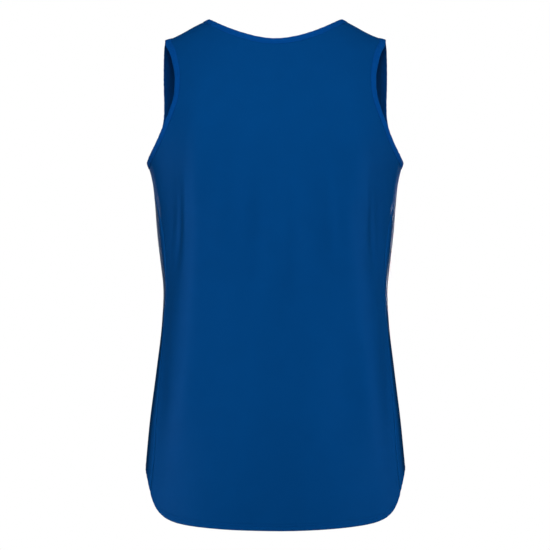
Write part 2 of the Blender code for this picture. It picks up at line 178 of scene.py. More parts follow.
# folds and unevenness
folds = {  # topX, midX, footX, topZ, footZ, topWidth, footWidth, depth
    "back": (
        (0.124, 0.126, 0.128, -0.200, -0.345, 0.013, 0.013, 0.0026),
        (-0.122, -0.126, -0.130, -0.195, -0.345, 0.013, 0.013, 0.0026),
        (0.044, 0.046, 0.048, -0.190, -0.400, 0.020, 0.020, 0.0016),
        (-0.040, -0.0435, -0.047, -0.200, -0.390, 0.020, 0.020, 0.0016),
        (0.116, 0.122, 0.128, -0.380, -0.560, 0.024, 0.024, -0.0024),
        (-0.114, -0.120, -0.126, -0.380, -0.560, 0.024, 0.024, -0.0024),
        (0.102, 0.109, 0.164, 0.020, -0.720, 0.030, 0.022, -0.0078),
        (-0.102, -0.110, -0.166, 0.020, -0.720, 0.030, 0.022, -0.0090),
        (0.093, 0.100, 0.107, 0.000, -0.280, 0.028, 0.030, -0.0060),
        (-0.091, -0.099, -0.108, 0.000, -0.285, 0.028, 0.030, -0.0056),
        (-0.1130, -0.1140, -0.1200, -0.165, -0.340, 0.0040, 0.0080, -0.0020),
        (-0.1190, -0.1225, -0.1290, -0.195, -0.345, 0.0038, 0.0068, 0.0010),
        (-0.1230, -0.1275, -0.1350, -0.190, -0.330, 0.0038, 0.0058, -0.0017),
        (0.1150, 0.1165, 0.1215, -0.170, -0.330, 0.0042, 0.0082, -0.0021),
        (0.1185, 0.1225, 0.1285, -0.190, -0.335, 0.0042, 0.0070, 0.0010),
        (0.1210, 0.1275, 0.1340, -0.185, -0.325, 0.0040, 0.0060, -0.0015),
        (-0.020, -0.022, -0.026, -0.150, -0.390, 0.011, 0.015, 0.0044),
        (0.018, 0.020, 0.022, -0.120, -0.370, 0.012, 0.016, -0.0044),
        (0.066, 0.069, 0.074, -0.150, -0.350, 0.008, 0.011, -0.0036),
        (0.086, 0.089, 0.093, -0.180, -0.330, 0.008, 0.011, -0.0022),
        (-0.070, -0.069, -0.066, -0.150, -0.340, 0.010, 0.014, -0.0034),
        (-0.094, -0.100, -0.118, -0.330, -0.560, 0.012, 0.020, -0.0012),
        (0.104, 0.112, 0.128, -0.310, -0.560, 0.012, 0.020, -0.0012),
        (-0.070, -0.078, -0.086, -0.380, -0.600, 0.020, 0.028, 0.0010),
        (0.082, 0.090, 0.096, -0.370, -0.610, 0.020, 0.026, 0.0010),
        (0.010, 0.012, 0.014, -0.420, -0.640, 0.026, 0.034, -0.0008),
    ),
    "front": (
        (0.122, 0.124, 0.126, -0.205, -0.350, 0.014, 0.014, 0.0024),
        (-0.124, -0.126, -0.128, -0.200, -0.345, 0.014, 0.014, 0.0024),
        (0.048, 0.052, 0.056, -0.220, -0.430, 0.022, 0.022, 0.0020),
        (-0.052, -0.051, -0.050, -0.215, -0.420, 0.022, 0.022, 0.0018),
        (0.112, 0.119, 0.126, -0.380, -0.520, 0.024, 0.024, -0.0022),
        (-0.110, -0.117, -0.124, -0.385, -0.520, 0.024, 0.024, -0.0022),
        (0.103, 0.106, 0.112, 0.010, -0.600, 0.030, 0.032, -0.0082),
        (-0.104, -0.107, -0.112, 0.000, -0.600, 0.030, 0.032, -0.0086),
        (0.094, 0.101, 0.108, 0.000, -0.290, 0.028, 0.030, -0.0050),
        (-0.092, -0.098, -0.106, 0.000, -0.275, 0.028, 0.030, -0.0054),
        (0.1130, 0.1150, 0.1210, -0.175, -0.335, 0.004, 0.008, -0.0013),
        (0.1200, 0.1235, 0.1300, -0.200, -0.340, 0.004, 0.007, 0.0013),
        (-0.1140, -0.1160, -0.1190, -0.170, -0.330, 0.004, 0.008, -0.0012),
        (-0.1210, -0.1250, -0.1290, -0.195, -0.335, 0.004, 0.007, 0.0014),
        (-0.012, -0.016, -0.020, -0.170, -0.340, 0.012, 0.018, 0.0010),
        (0.022, 0.020, 0.016, -0.190, -0.360, 0.012, 0.018, -0.0010),
        (0.074, 0.078, 0.084, -0.200, -0.330, 0.010, 0.015, 0.0009),
        (-0.080, -0.082, -0.090, -0.190, -0.340, 0.010, 0.015, 0.0009),
        (0.086, 0.094, 0.104, -0.360, -0.540, 0.018, 0.026, 0.0010),
        (-0.084, -0.090, -0.100, -0.350, -0.545, 0.018, 0.026, 0.0011),
        (0.000, 0.003, 0.004, -0.400, -0.560, 0.024, 0.030, -0.0009),
    ),
}
slack = {  # the slow unevenness of soft cloth
    "height": 0.00022,
    "shortest": 0.060,
    "longest": 0.160,
    "heading": 0.5,  # most that a wave turns from upright, in radians
    "stretch": 0.6,  # how far the waves are drawn out downwards
    "waves": 9,
    "seeds": {"back": 11, "front": 12},
    "heldWidth": 0.020,  # the side seams hold the cloth flat over about this width
    "heldFrom": 0.9,  # from just over the underarm down
    "heldFade": 0.2,
}
pucker = {  # ripples that the seams draw into the cloth
    "full": 0.010,  # a bound edge's ripples keep their height this far in
    "weakest": 0.4,
    "neck": {"height": 0.00022, "fade": 0.010, "waves": (31, 47, 58, 71), "seeds": {1: 11}},
    "armhole": {"height": 0.00022, "fade": 0.010, "waves": (27, 41, 50, 63), "seeds": {1: 14, -1: 16}},
    "hem": {"height": 0.00030, "fade": 0.016, "waves": (23, 37, 52, 69), "seeds": {1: 10, -1: 12}},
}


def foldDepth(panel, x, z):
    topX, midX, footX, topZ, footZ, topWidth, footWidth, depth = np.array(folds[panel]).T
    pressed = np.zeros(np.shape(x))
    for i in range(len(depth)):
        t = np.clip((z - topZ[i]) / (footZ[i] - topZ[i]), 0, 1)
        lineX = topX[i] * (1 - t) * (1 - 2 * t) + midX[i] * 4 * t * (1 - t) + footX[i] * t * (2 * t - 1)
        width = topWidth[i] + (footWidth[i] - topWidth[i]) * t
        pressed += depth[i] * np.exp(-(((x - lineX) / width) ** 2)) * np.sin(math.pi * t) ** 2
    return pressed


def slackHeight(panel, points):
    dice = np.random.default_rng(slack["seeds"][panel])
    height = np.zeros(points.shape[:-1])
    for _ in range(slack["waves"]):
        length = dice.uniform(slack["shortest"], slack["longest"])
        heading = dice.uniform(-slack["heading"], slack["heading"])
        phase = dice.uniform(0, 2 * math.pi)
        across = points[..., 0] * math.cos(heading) + points[..., 2] * math.sin(heading) * slack["stretch"]
        height += slack["height"] * np.sin(2 * math.pi * across / length + phase)
    return height


def ripple(kind, share, side):  # share runs once round the edge
    dice = np.random.default_rng(pucker[kind]["seeds"][side])
    height = np.zeros(np.shape(share))
    for count in pucker[kind]["waves"]:
        wave = np.sin(2 * math.pi * (count * share + dice.uniform()))
        height += wave * dice.uniform(pucker["weakest"], 1.0)
    return pucker[kind]["height"] * height / 2


# edges
fine = {  # numbers of points and small steps
    "points": 600,
    "ringParts": 240,
    "turnLength": 0.040,
    "step": 0.002,
    "middlePoints": 900,
    "middleEnd": 4.2,  # past the hem
    "arcParts": 12,
}


def located(panel, x, z):
    rise = figure["underarm"]
    down = np.arccos(np.clip((z + rise) / (shoulderZ(x) + rise), 0, 1)) / quarter
    halfWidth = section(panel, down)[1]
    return down, np.arcsin(np.clip(x / halfWidth, -1, 1))


def spaced(panel, x, z, parts):  # closer together where the edge bends
    down, angle = located(panel, x, z)
    steps = np.diff(bareBody(panel, down, angle), axis=0)
    lengths = np.linalg.norm(steps, axis=1)
    headings = steps / lengths[:, None]
    turns = np.arccos(np.clip(dot(headings[1:], headings[:-1]), -1, 1))
    progress = np.concatenate(([0], np.cumsum(lengths + fine["turnLength"] * np.append(0, turns))))
    wanted = np.linspace(0, progress[-1], parts + 1)
    return np.interp(wanted, progress, down), np.interp(wanted, progress, angle)


def edgeInto(panel, down, angle, firstHeading, lastHeading, inward):  # an edge, and the steps into the panel
    headings = np.gradient(bareBody(panel, down, angle), axis=0)
    headings[0] = firstHeading
    headings[-1] = lastHeading
    way = inward * outward[panel] * np.cross(normalOf(panel, down, angle), unit(headings))
    alongDown, alongAngle = slopesOf(panel, down, angle)
    dd, da, aa = dot(alongDown, alongDown), dot(alongDown, alongAngle), dot(alongAngle, alongAngle)
    wayDown, wayAngle = dot(way, alongDown), dot(way, alongAngle)
    downStep = (wayDown * aa - wayAngle * da) / (dd * aa - da**2)
    angleStep = (wayAngle * dd - wayDown * da) / (dd * aa - da**2)
    return SimpleNamespace(panel=panel, down=down, angle=angle, downStep=downStep, angleStep=angleStep)


def inside(edge, distance):
    return edge.down + distance * edge.downStep, edge.angle + distance * edge.angleStep


def neckEdge(panel, parts):
    neckX, middleZ = figure["neckPoint"], figure["neckZ"][panel]
    x = neckX * np.sin(np.linspace(0, quarter, fine["points"]))
    z = middleZ + (shoulderZ(neckX) - middleZ) * (x / neckX) ** figure["neckPower"][panel]
    down, angle = spaced(panel, x, z, parts)
    return edgeInto(panel, down, angle, (1, 0, 0), (0, -outward[panel], 0), 1)


def armholeEdge(panel, parts):
    knots = np.array(figure["armholes"][panel]).T
    knotsX = np.append(figure["shoulderPoint"], knots[0])
    knotsZ = np.append(shoulderZ(figure["shoulderPoint"]), knots[1])
    lengths = np.append(0, np.cumsum(np.hypot(np.diff(knotsX), np.diff(knotsZ))))
    places = lengths[-1] * np.linspace(0, 1, fine["points"]) ** 2
    x, z = (smoothCurve(lengths, knots)(places) for knots in (knotsX, knotsZ))
    down, angle = spaced(panel, x, z, parts)
    edge = edgeInto(panel, down, angle, (0, outward[panel], 0), (0, -outward[panel], 0), 1)
    wraps = section(panel, np.array((1, 1 + fine["step"])))[3]
    edge.angleStep[-1] = edge.downStep[-1] * (wraps[1] - wraps[0]) / fine["step"]  # along the side seam
    return edge


def hemLevel(panel, share):
    middle = figure["hemLevel"][panel]
    corner = figure["hemCorner"]
    curve = (1 - corner) * share**2 + corner * share ** figure["hemCornerPower"]
    return middle + (figure["seamFoot"] - middle) * curve


def sideSeam(panel, down):  # its angle, and how far one radian takes a point there
    _, halfWidth, depth, wrap = section(panel, down)
    return wrap, np.hypot(halfWidth * np.cos(wrap), depth * np.sin(wrap))


def atSeam(panel, down):  # the panel's own edge, short of the side seam
    wrap, reach = sideSeam(panel, down)
    return wrap - figure["seamGap"] / 2 / reach


def hemEdge(panel, parts):
    share = np.linspace(0, 1, parts + 1)
    down = downOf(hemLevel(panel, share))
    angle = share * atSeam(panel, down)
    last = bareBody(panel, down[-2:], angle[-2:])
    return edgeInto(panel, down, angle, (1, 0, 0), unit(last[1] - last[0]), -1)


def bothHalves(half, sign=1):  # mirrors columns from the middle outwards
    return np.concatenate((sign * half[..., :0:-1], half), axis=-1)


# the dressed surface
def edgeRing(edges, side):  # points right round a neck or armhole edge
    first, second = (bareBody(edge.panel, edge.down, side * edge.angle) for edge in edges)
    return np.concatenate((first, second[::-1]))


fineNeck = [neckEdge(panel, fine["ringParts"]) for panel in outward]
fineArmhole = [armholeEdge(panel, fine["ringParts"]) for panel in outward]
neckHalves = [edgeRing(fineNeck, 1), edgeRing(fineNeck, -1)[::-1]]
seamRings = {
    ("neck", 1): np.concatenate((neckHalves[0], neckHalves[1][1:-1])),
    ("armhole", 1): edgeRing(fineArmhole, 1),
    ("armhole", -1): edgeRing(fineArmhole, -1),
}
seamShares = {}
seamTrees = {}
for key, ring in seamRings.items():
    lengths, whole = ringLengths(ring)
    seamShares[key] = lengths / whole
    seamTrees[key] = KDTree(len(ring))
    for i, point in enumerate(ring):
        seamTrees[key].insert(point, i)
    seamTrees[key].balance()


def seamHeight(points):  # ripples beside the bound edges
    flat = points.reshape(-1, 3)
    height = np.zeros(len(flat))
    for (kind, side), tree in seamTrees.items():
        number, distance = np.array([tree.find(point)[1:] for point in flat]).T
        fade = np.exp(-np.maximum(distance - pucker["full"], 0) / pucker[kind]["fade"])
        height += ripple(kind, seamShares[kind, side][number.astype(int)], side) * fade
    return height.reshape(points.shape[:-1])


def seamReach(panel, down, angle):  # how far round the panel it is to the side seam
    wrap, reach = sideSeam(panel, down)
    return (wrap - np.abs(angle)) * reach


def dressed(panel, down, angle):  # the finished outer face and the way out of it
    points = bareBody(panel, down, angle)
    normal = normalOf(panel, down, angle)
    height = slackHeight(panel, points) - foldDepth(panel, points[..., 0], points[..., 2])
    held = np.exp(-((seamReach(panel, down, angle) / slack["heldWidth"]) ** 2))
    held *= np.clip((down - slack["heldFrom"]) / slack["heldFade"], 0, 1)
    height = height * (1 - held) + seamHeight(points)
    return points + height[..., None] * normal, normal


def metric(panel, down, angle):  # place on the flat cloth, in metres
    _, halfWidth, depth, _ = section(panel, down)
    middle = np.linspace(0, fine["middleEnd"], fine["middlePoints"])
    v = -np.interp(down, middle, runLengths(bareBody(panel, middle, 0 * middle)))
    t = (np.arange(fine["arcParts"]) + 0.5) / fine["arcParts"]
    part = angle[..., None] * t
    reach = np.hypot(halfWidth[..., None] * np.cos(part), depth[..., None] * np.sin(part))
    return np.stack((angle * np.mean(reach, axis=-1), v), axis=-1)


# materials
def setInputs(tree, node, inputs):  # a socket is linked, anything else is a value
    for key, value in inputs.items():
        if isinstance(value, bpy.types.NodeSocket):
            tree.links.new(value, node.inputs[key])
        else:
            node.inputs[key].default_value = value


def addNode(tree, kind, inputs=None, **settings):
    node = tree.nodes.new(kind)
    for name, value in settings.items():
        setattr(node, name, value)
    setInputs(tree, node, inputs or {})
    return node


def calc(tree, operation, *terms):
    return addNode(tree, "ShaderNodeMath", dict(enumerate(terms)), operation=operation).outputs[0]


def ranged(tree, value, low, high, end="From", kind="LINEAR"):
    inputs = {"Value": value, end + " Min": low, end + " Max": high}
    return addNode(tree, "ShaderNodeMapRange", inputs, interpolation_type=kind).outputs[0]


def multiplied(tree, colour, share, amount):  # the colour, darker by the share where the amount is 1
    inputs = {0: amount, 6: colour, 7: (share, share, share, 1)}
    return addNode(tree, "ShaderNodeMix", inputs, data_type="RGBA", blend_type="MULTIPLY").outputs[2]


knitForm = {  # shares of the relief, and loops for each eyelet
    "eyeletFrom": 0.25,
    "eyeletTo": 0.9,
    "eyeletDepth": 0.9,
    "loops": 3,
    "sway": 0.9,
    "wale": 0.30,
    "course": 0.15,
    "level": 0.5,
    "mottleScale": 38,
    "mottleDetail": 3,
}


def meshKnitGroup():  # small staggered eyelets between fine columns of loops
    tree = bpy.data.node_groups.new("meshKnit", "ShaderNodeTree")
    for way, names in (("INPUT", ("Place", "Pitch", "Eyelet")), ("OUTPUT", ("Height", "Hole", "Mottle"))):
        for name in names:
            kind = "NodeSocketVector" if name == "Place" else "NodeSocketFloat"
            tree.interface.new_socket(name, in_out=way, socket_type=kind)
    source = addNode(tree, "NodeGroupInput")
    result = addNode(tree, "NodeGroupOutput")
    split = addNode(tree, "ShaderNodeSeparateXYZ", {0: source.outputs["Place"]})

    def times(value, factor):
        return calc(tree, "MULTIPLY", value, factor)

    u, v = (calc(tree, "DIVIDE", split.outputs[k], source.outputs["Pitch"]) for k in range(2))
    turn = 2 * math.pi
    eyeU, eyeV = (calc(tree, "COSINE", times(place, turn)) for place in (u, v))
    eye = times(eyeU, eyeV)  # 1 in each eyelet, staggered
    eye = ranged(tree, eye, knitForm["eyeletFrom"], knitForm["eyeletTo"], kind="SMOOTHSTEP")
    hole = times(eye, source.outputs["Eyelet"])
    loopU, loopV = (times(place, turn * knitForm["loops"]) for place in (u, v))
    sway = times(calc(tree, "SINE", loopV), knitForm["sway"])
    wale = times(calc(tree, "COSINE", calc(tree, "ADD", loopU, sway)), knitForm["wale"])
    course = times(calc(tree, "COSINE", loopV), knitForm["course"])
    loops = calc(tree, "ADD", calc(tree, "ADD", wale, course), knitForm["level"])
    height = calc(tree, "SUBTRACT", loops, times(hole, knitForm["eyeletDepth"]))
    mottle = {"Vector": source.outputs["Place"], "Scale": knitForm["mottleScale"],
              "Detail": knitForm["mottleDetail"]}
    noise = addNode(tree, "ShaderNodeTexNoise", mottle)
    setInputs(tree, result, {"Height": height, "Hole": hole, "Mottle": noise.outputs[0]})
    return tree


meshKnit = meshKnitGroup()


def clothMaterial(name, look):
    made = bpy.data.materials.new(name)
    made.use_nodes = True
    made.diffuse_color = (*look["colour"], 1)
    tree = made.node_tree
    place = addNode(tree, "ShaderNodeUVMap", uv_map="clothPlace").outputs[0]
    inputs = {"Place": place, "Pitch": look["pitch"], "Eyelet": look["eyelet"]}
    knit = addNode(tree, "ShaderNodeGroup", inputs, node_tree=meshKnit).outputs
    inputs = {0: knit["Hole"], 6: (*look["colour"], 1), 7: (*look["deep"], 1)}
    shade = addNode(tree, "ShaderNodeMix", inputs, data_type="RGBA").outputs[2]
    value = ranged(tree, knit["Mottle"], 1 - look["mottle"], 1 + look["mottle"], "To")
    mottled = addNode(tree, "ShaderNodeHueSaturation", {"Color": shade, "Value": value}).outputs[0]
    # painted shade: the colour is darkened where the cloth is seen from the side, on the points marked for
    # it
    facing = addNode(tree, "ShaderNodeLayerWeight").outputs["Facing"]
    aside = ranged(tree, facing, look["paintedSideShadeFrom"], look["asideTo"], kind="SMOOTHSTEP")
    # points marked inside take a painted inner shade
    sideShadeMask, reverse = (addNode(tree, "ShaderNodeAttribute", attribute_name=mark).outputs["Fac"]
                      for mark in ("sideShadeMask", "inside"))
    colour = multiplied(tree, mottled, look["aside"], calc(tree, "MULTIPLY", aside, sideShadeMask))
    smooth = look["roughness"]
    inputs = {"Strength": look["bump"], "Distance": look["relief"], "Height": knit["Height"]}
    setInputs(tree, tree.nodes["Principled BSDF"], {
        "Base Color": multiplied(tree, colour, look["inner"], reverse),
        "Roughness": ranged(tree, knit["Hole"], smooth, smooth + look["holeRoughness"], "To"),
        "Normal": addNode(tree, "ShaderNodeBump", inputs).outputs[0],
        "Metallic": look["metallic"],
        "Specular IOR Level": look["gloss"],
        "Specular Tint": (*look["glossTint"], 1),
        "Sheen Weight": look["sheen"],
        "Sheen Roughness": look["sheenRoughness"],
        "Sheen Tint": (*look["sheenTint"], 1),
    })
    return made


panelLook = {
    "colour": (0.0008, 0.0500, 0.1950),
    "deep": (0.0004, 0.0310, 0.1300),
    "pitch": 0.0015,
    "eyelet": 0.8,
    "mottle": 0.05,
    "inner": 0.60,  # how much of its colour the inner face keeps under the painted inner shade
    "aside": 0.42,  # share of its colour the cloth keeps under the painted side shade, where it is seen from the side
    "paintedSideShadeFrom": 0.58,  # Layer Weight's Facing where that sets in
    "asideTo": 0.74,  # and where it is complete
    "roughness": 0.38,
    "holeRoughness": 0.2,  # added in the eyelets
    "bump": 0.6,
    "relief": 0.00009,
    "gloss": 0.03,
    "metallic": 0.08,
    "glossTint": (0.01, 0.35, 1.0),
    "sheen": 0.03,
    "sheenRoughness": 0.35,
    "sheenTint": (0.02, 0.45, 1.0),
}
bindingLook = dict(panelLook, colour=(0.0010, 0.0545, 0.2400), deep=(0.0008, 0.0440, 0.1950), pitch=0.0011,
                   eyelet=0.35, roughness=0.45, relief=0.00014)
threadLook = dict(panelLook, colour=(0.0010, 0.0440, 0.2100), deep=(0.0008, 0.0380, 0.1800), pitch=0.0004,
                  eyelet=0.3, roughness=0.40, relief=0.00004, gloss=0.4)
panelKnit = clothMaterial("panelKnit", panelLook)
bindingKnit = clothMaterial("bindingKnit", bindingLook)
thread = clothMaterial("sewingThread", threadLook)
print("materials made")


# mesh making
def placed(name, data):  # a new object in the scene
    made = bpy.data.objects.new(name, data)
    bpy.context.scene.collection.objects.link(made)
    return made


def addPiece(name, points, faces, material, places=None, marks=None):
    mesh = bpy.data.meshes.new(name)
    mesh.from_pydata(points.tolist(), [], faces)
    if places is None:
        places = points[:, (0, 2)]
    layer = mesh.uv_layers.new(name="clothPlace")
    corners = np.empty(len(mesh.loops), dtype=np.int32)
    mesh.loops.foreach_get("vertex_index", corners)
    layer.uv.foreach_set("vector", places[corners].astype(np.float32).ravel())
    for mark, values in (marks or {}).items():
        mesh.attributes.new(mark, "FLOAT", "POINT").data.foreach_set("value", values.astype(np.float32))
    mesh.materials.append(material)
    mesh.shade_smooth()
    mesh.validate()
    piece = placed(name, mesh)
    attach(piece, "root")
    return piece


def gridFaces(grid):
    corners = (grid[:-1, :-1], grid[1:, :-1], grid[1:, 1:], grid[:-1, 1:])
    return np.stack([corner.ravel() for corner in corners], axis=-1).tolist()


def facesAlong(sections, closed):  # round each section and on to the next one
    count, points = sections.shape[:2]
    j, i = np.meshgrid(np.arange(count if closed else count - 1), np.arange(points), indexing="ij")
    across, onward = (i + 1) % points, (j + 1) % count
    corners = (j * points + i, j * points + across, onward * points + across, onward * points + i)
    faces = np.stack([corner.ravel() for corner in corners], axis=-1).tolist()
    if not closed:
        faces.append(list(range(points))[::-1])
        faces.append(list(range((count - 1) * points, count * points)))
    first = sections[0] - sections[0].mean(axis=0)
    spin = np.sum(np.cross(first, np.roll(first, -1, axis=0)), axis=0)
    if np.dot(spin, sections[1].mean(axis=0) - sections[0].mean(axis=0)) < 0:
        faces = [face[::-1] for face in faces]
    return faces


def closedWall(outer, inner, faces, flip):
    count = len(outer)
    edges = {(face[k - 1], face[k]) for face in faces for k in range(len(face))}
    rim = [(end, start) for start, end in edges if (end, start) not in edges]
    innerFaces = [[number + count for number in reversed(face)] for face in faces]
    rimFaces = [[start, end, end + count, start + count] for start, end in sorted(rim)]
    allFaces = faces + innerFaces + rimFaces
    if flip:
        allFaces = [face[::-1] for face in allFaces]
    return np.concatenate((outer, inner)), allFaces


# sewing thread
stitch = {
    "pitch": 0.0025,
    "length": 0.0020,
    "radius": 0.00016,
    "arch": 0.00008,  # how far its middle stands over its ends
    "sunk": 0.00006,
    "start": 0.1,  # where the first stitch starts, in stitches
    "taper": 0.4,  # girth at the ends, as a share of the middle's
    "rings": 5,
    "sides": 5,
}
stitchLines = {}  # rows of points and the ways out of the cloth, by name


def alongPath(path, at):
    lengths = runLengths(path)
    return np.stack([np.interp(at * lengths[-1], lengths, path[:, k]) for k in range(3)], axis=-1)


def stitchRow(path, ups):  # one stitch after another
    length = runLengths(path)[-1]
    count = int(length / stitch["pitch"])
    at = (np.arange(count) + stitch["start"]) / count
    end = at + stitch["length"] / length
    return alongPath(path, at), alongPath(path, end), alongPath(ups, at)


def zigzagRow(path, other, ups, pitch):
    length = runLengths(path)[-1]
    count = int(length / pitch)
    at = (np.arange(count) + stitch["start"]) / count
    half = 0.5 * pitch / length
    here, there, onward = alongPath(path, at), alongPath(other, at + half), alongPath(path, at + 2 * half)
    up = alongPath(ups, at)
    return np.concatenate((here, there)), np.concatenate((there, onward)), np.concatenate((up, up))


def threadPiece(name, rows):  # bent little capsules from the starts to the ends
    starts, ends, ups = (np.concatenate(part) for part in zip(*rows))
    t = np.linspace(0, 1, stitch["rings"])
    turns = 2 * math.pi * np.arange(stitch["sides"]) / stitch["sides"]
    along = ends - starts
    across = unit(np.cross(along, ups))
    up = unit(np.cross(across, along))
    height = stitch["arch"] * np.sin(math.pi * t) - stitch["sunk"]
    girth = stitch["radius"] * (stitch["taper"] + (1 - stitch["taper"]) * np.sin(math.pi * t) ** 0.5)
    centre = starts[:, None] + along[:, None] * t[:, None] + up[:, None] * height[:, None]
    around = across[:, None] * np.cos(turns)[:, None] + up[:, None] * np.sin(turns)[:, None]
    points = centre[:, :, None] + around[:, None] * girth[:, None, None]
    faces = []
    size = stitch["rings"] * stitch["sides"]
    pattern = facesAlong(points[0], False)
    for k in range(len(points)):
        faces += [[number + k * size for number in face] for face in pattern]
    return addPiece(name, points.reshape(-1, 3), faces, thread)


# panels
panelCut = {
    "wall": 0.0009,
    "hemWall": 0.0019,  # the two layers together
    "hemDepth": 0.0100,
    "hemStep": (0.0104, 0.0005),  # the second layer ends here, over this width
    "hemRows": (0.0150, 0.0130, 0.0117, 0.0108, 0.0102, 0.0098, 0.0091, 0.0085, 0.0079, 0.0070, 0.0060,
                0.0053, 0.0046, 0.0036, 0.0026, 0.0017, 0.0011, 0.0006, 0.00025, 0.00006, 0.0),
    "neckParts": 52,
    "strapParts": 24,
    "armholeParts": 80,
    "torsoParts": 130,
    "edgeParts": 60,
    "seamParts": {"side": 90, "shoulder": 16},
    "rowParts": {"shoulder": 40, "overlock": 90},
    "underBinding": 0.0013,  # how far inside the finished edges the cloth ends
    "hemStitch": (0.0085, 0.0053),  # heights of the two rows over the fold
    "stitchPress": 0.00028,
    "stitchWidth": 0.0007,
    "seamPress": 0.00045,
    "seamPressWidth": 0.0012,
    "seamTurn": 0.0025,  # both panels face one way this near to the side seam
    "shoulderStitch": (0.0016, 0.0062),  # distances of the two rows from the seam, on the back
    "shoulderSunk": 0.00022,
    "allowance": 0.0068,  # overlocked together, and pressed to the back panel
    "allowanceLayer": 0.0006,
    "allowanceFrom": 0.0093,  # starts this far from the bound edges
    "allowanceTuck": -0.05,  # share of it under the other panel, so that no light comes through
    "layerGap": 0.0001,
    "hemClear": 0.0010,  # the allowances end this far over the hem
    "overlock": 0.0019,
    "overlockAt": (0.35, 0.98),  # shares of the allowance between which its thread runs
    "aside": {"back": 0.1, "front": 1.0},  # how far each panel takes the painted side shade, where it is seen from the side
    "paintedSideShadeFade": 0.25,  # it sets in below the underarm
}


def patch(top, side, middle, foot):
    u = np.linspace(0, 1, len(top))[None, :]
    v = np.linspace(0, 1, len(side))[:, None]
    rows = (1 - v) * top[None, :] + v * foot[None, :]
    columns = (1 - u) * middle[:, None] + u * side[:, None]
    corners = (1 - u) * (1 - v) * top[0] + u * (1 - v) * top[-1] + (1 - u) * v * foot[0] + u * v * foot[-1]
    return rows + columns - corners


def evened(down, angle, rounds=260):  # smooths a grid inside its four edges for a set number of rounds, to undo cells that fold over
    downSize, angleSize = 0.17, 0.16  # rough lengths of one unit of each
    grid = np.stack((down * downSize, angle * angleSize))
    for _ in range(rounds):
        across = (grid[:, 1:-1, 2:] - grid[:, 1:-1, :-2]) / 2
        along = (grid[:, 2:, 1:-1] - grid[:, :-2, 1:-1]) / 2
        a, b, c = np.sum(along**2, axis=0), np.sum(across * along, axis=0), np.sum(across**2, axis=0)
        twist = (grid[:, 2:, 2:] - grid[:, 2:, :-2] - grid[:, :-2, 2:] + grid[:, :-2, :-2]) / 4
        beside = grid[:, 1:-1, 2:] + grid[:, 1:-1, :-2]
        ends = grid[:, 2:, 1:-1] + grid[:, :-2, 1:-1]
        grid[:, 1:-1, 1:-1] = (a * beside + c * ends - 2 * b * twist) / (2 * (a + c))
    return grid[0] / downSize, grid[1] / angleSize


def panelGrid(panel):
    inset = panelCut["underBinding"]
    neckDown, neckAngle = inside(neckEdge(panel, panelCut["neckParts"]), inset)
    sideDown, sideAngle = inside(armholeEdge(panel, panelCut["armholeParts"]), inset)
    sideAngle[-1] = atSeam(panel, sideDown[-1])
    strap = np.linspace(neckAngle[-1], sideAngle[0], panelCut["strapParts"] + 1)[1:]
    topDown = np.append(neckDown, np.full(len(strap), neckDown[-1]))
    topAngle = np.append(neckAngle, strap)
    share = np.linspace(0, 1, len(topDown))
    underarm = sideDown[-1]
    middleDown = np.linspace(topDown[0], underarm, len(sideDown))
    upperDown = patch(topDown, sideDown, middleDown, np.full_like(share, underarm))
    upperAngle = patch(topAngle, sideAngle, 0 * sideAngle, share * sideAngle[-1])
    upperDown, upperAngle = evened(upperDown, upperAngle)

    hemDown = downOf(hemLevel(panel, share))
    hem = edgeInto(panel, hemDown, share * atSeam(panel, hemDown), (1, 0, 0), hemHeading(panel), -1)
    hemRows = np.array([inside(hem, depth)[0] for depth in panelCut["hemRows"]])
    t = np.linspace(0, 1, panelCut["torsoParts"] + 1)[1:, None]
    lowerDown = np.vstack((underarm + (hemRows[0] - underarm) * t, hemRows[1:]))
    lowerAngle = share * atSeam(panel, lowerDown[:, -1:])
    shoulderGap = figure["seamGap"] / 2 / (quarter * figure["shoulderDepth"])
    down = np.maximum(np.vstack((upperDown, lowerDown)), shoulderGap)
    return bothHalves(down), bothHalves(np.vstack((upperAngle, lowerAngle)), -1)


def hemHeading(panel):
    share = np.array((0.998, 1))  # the last little way to the side seam
    down = downOf(hemLevel(panel, share))
    points = bareBody(panel, down, share * section(panel, down)[3])
    return unit(points[1] - points[0])


def dip(distance, middle, width):
    return np.exp(-(((distance - middle) / width) ** 2))


def besideSeam(kind, side, distance, parts):  # the back panel, this far from its side or shoulder seam
    t = np.linspace(0, 1, parts)
    armhole = armholeEdge("back", panelCut["edgeParts"])
    if kind == "side":
        first = inside(armhole, panelCut["allowanceFrom"])[0][-1]
        hem = hemEdge("back", panelCut["edgeParts"])
        last = inside(hem, panelCut["hemDepth"] + panelCut["hemClear"])[0][-1]
        down = first + (last - first) * t
        wrap, reach = sideSeam("back", down)
        angle = wrap - distance / reach
    else:
        first = inside(neckEdge("back", panelCut["edgeParts"]), panelCut["allowanceFrom"])[1][-1]
        last = inside(armhole, panelCut["allowanceFrom"])[1][0]
        angle = first + (last - first) * t
        middle, _, depth, _ = section("back", 0 * t)
        down = distance / (quarter * np.abs(middle + depth * (1 - np.cos(angle))))
    return dressed("back", down, side * angle)


def allowanceStrip(kind, side, layer):  # a panel's own edge, turned in along a seam
    thick, gap, tuck = panelCut["allowanceLayer"], panelCut["layerGap"], panelCut["allowanceTuck"]
    top = panelCut["wall"] + gap + layer * (thick + gap)
    strip = []
    for share, depth in ((tuck, 0), (0.5, 0), (0.96, 0), (1, 0.3), (1, 0.7), (0.96, 1), (0.5, 1), (tuck, 1)):
        points, normal = besideSeam(kind, side, share * panelCut["allowance"], panelCut["seamParts"][kind])
        strip.append(points - (top + depth * thick) * normal)
    return np.stack(strip, axis=1)


